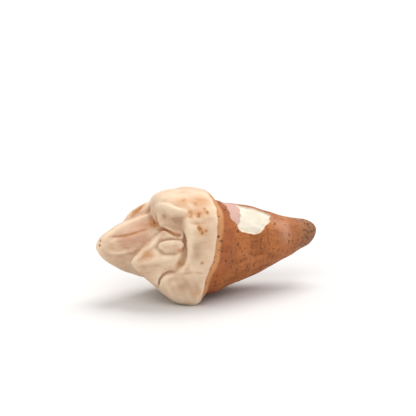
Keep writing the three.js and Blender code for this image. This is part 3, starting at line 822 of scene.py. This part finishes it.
enamel = ramp(tree, on_tooth["past"], -0.12, 0.12, 1.0, 0.0)
bare = math(tree, "SUBTRACT", 1.0, math(tree, "MAXIMUM", enamel, on_tooth["chip"]))
ragged = math(tree, "MULTIPLY", on_tooth["stain"], ramp(tree, grain, 0.25, 0.70, 0.50, 1.25))
stain_tint = math(tree, "MULTIPLY", enamel, ramp(tree, ragged, 0.05, 0.80, 0.0, 0.85))
stain_core = ramp(tree, ragged, 0.62, 1.25, 0.0, 0.75)

base_colour = mix(tree, enamel, root_colour, enamel_colour)
base_colour = mix(tree, on_tooth["chip"], base_colour, chip_colour)
base_colour = tinted(base_colour, stain_tint, 178, 116, 62)
base_colour = tinted(base_colour, stain_core, 104, 60, 30)
tree.links.new(base_colour, shader.inputs["Base Color"])
print("all colours:", len(tree.nodes), "nodes")

# %% [markdown]
# ## Gloss and fine relief
# Polished enamel has a soft sheen, root and chip are dull. Grain, rings and fine lines are too fine for the
# mesh, so a Bump node tilts the shading for them. On the enamel they are weaker.

# %% Gloss and fine relief
gloss = ramp(tree, enamel, 0.0, 1.0, 0.62, 0.42)
gloss = math(tree, "MAXIMUM", gloss, math(tree, "MULTIPLY", on_tooth["chip"], 0.8))
tree.links.new(gloss, shader.inputs["Roughness"])
height = math(tree, "ADD", math(tree, "MULTIPLY", grain, 0.5), math(tree, "MULTIPLY", rings, 0.5))
height = math(tree, "ADD", height, math(tree, "MULTIPLY", fine_lines, 0.5))
open_pits = math(tree, "MULTIPLY", root_pits, bare)
height = math(tree, "SUBTRACT", height, math(tree, "MULTIPLY", open_pits, 0.8))
weaker_on_enamel = ramp(tree, enamel, 0.0, 1.0, 1.0, 0.35)
height = math(tree, "MULTIPLY", height, weaker_on_enamel)
BUMP_HEIGHT = 0.00018
bump = add(tree, "ShaderNodeBump", {"Height": height, "Strength": 0.8, "Distance": BUMP_HEIGHT})
tree.links.new(bump.outputs["Normal"], shader.inputs["Normal"])
shader.inputs["Specular IOR Level"].default_value = 0.3
tooth_mesh.materials.append(finish)
print("finish nodes:", len(tree.nodes))

# %% [markdown]
# ## Floor, light and camera
# The tooth lies on a plain pale floor. A broad light above and a little behind gives the soft shadow in
# front, a weaker one before the tooth fills the folds of the crown, and white surroundings do the rest.
# The lights stand far off, so that the floor stays evenly white. The camera looks from the crown's side
# and slightly down, with a long lens, as close-up pictures are taken.

# %% Floor
FLOOR_HALF = 3.0
floor_mesh = bpy.data.meshes.new("floor")
floor_corners = [(-FLOOR_HALF, -FLOOR_HALF, 0), (FLOOR_HALF, -FLOOR_HALF, 0),
                 (FLOOR_HALF, FLOOR_HALF, 0), (-FLOOR_HALF, FLOOR_HALF, 0)]
floor_mesh.from_pydata(floor_corners, [], [(0, 1, 2, 3)])
floor = bpy.data.objects.new("floor", floor_mesh)
bpy.context.scene.collection.objects.link(floor)
floor_finish = bpy.data.materials.new("pale_floor")
floor_finish.use_nodes = True
floor_shader = floor_finish.node_tree.nodes["Principled BSDF"]
floor_shader.inputs["Base Color"].default_value = (0.70, 0.69, 0.68, 1)
floor_shader.inputs["Roughness"].default_value = 0.9
floor_mesh.materials.append(floor_finish)
print("floor", 2 * FLOOR_HALF, "m wide")

# %% Light
def soft_light(name, location, target, width, power):
    """A square area light that faces a target point."""
    data = bpy.data.lights.new(name, "AREA")
    data.size, data.energy = width, power
    lamp = bpy.data.objects.new(name, data)
    lamp.location = location
    lamp.rotation_euler = (Vector(target) - Vector(location)).to_track_quat("-Z", "Y").to_euler()
    bpy.context.scene.collection.objects.link(lamp)
    return lamp


LIT_POINT = (0, 0, 0.008)
soft_light("top_light", (0.40, 0.30, 1.16), LIT_POINT, 0.84, 11.6)
soft_light("front_light", (-0.50, -0.76, 1.00), LIT_POINT, 1.00, 7.6)
world = bpy.data.worlds.new("studio")
world.use_nodes = True
surroundings = world.node_tree.nodes["Background"]
surroundings.inputs["Color"].default_value = (1, 1, 1, 1)
surroundings.inputs["Strength"].default_value = 0.66
bpy.context.scene.world = world
bpy.context.scene.view_settings.view_transform = "Standard"
print("lights: a soft light above, a weaker one in front, white surroundings")

# %% Camera
AZIMUTH, ELEVATION, AWAY = np.radians(-25.0), np.radians(14.0), 0.300
MM_PER_PIXEL, FRAME_PIXELS = 0.165, 416
# pixels from the neck's middle to the frame's middle, to the right and up
AIM_RIGHT, AIM_UP = 3, 35
SENSOR_WIDTH = 36.0
level = np.cos(ELEVATION)
back = np.array([np.sin(AZIMUTH) * level, -np.cos(AZIMUTH) * level, np.sin(ELEVATION)])
right = np.array([np.cos(AZIMUTH), np.sin(AZIMUTH), 0.0])
upright = np.cross(back, right)
aim = (NECK_IN_FRAME + (AIM_RIGHT * right + AIM_UP * upright) * MM_PER_PIXEL) * METRES_PER_MM
camera_data = bpy.data.cameras.new("camera")
camera_data.sensor_width = SENSOR_WIDTH
camera_data.lens = SENSOR_WIDTH * AWAY * 1000 / (MM_PER_PIXEL * FRAME_PIXELS)
camera = bpy.data.objects.new("camera", camera_data)
turned = Matrix([right, upright, back]).transposed().to_4x4()
camera.matrix_world = Matrix.Translation(Vector(aim + back * AWAY)) @ turned
bpy.context.scene.collection.objects.link(camera)
bpy.context.scene.camera = camera
print("lens", round(camera_data.lens, 1), "mm")
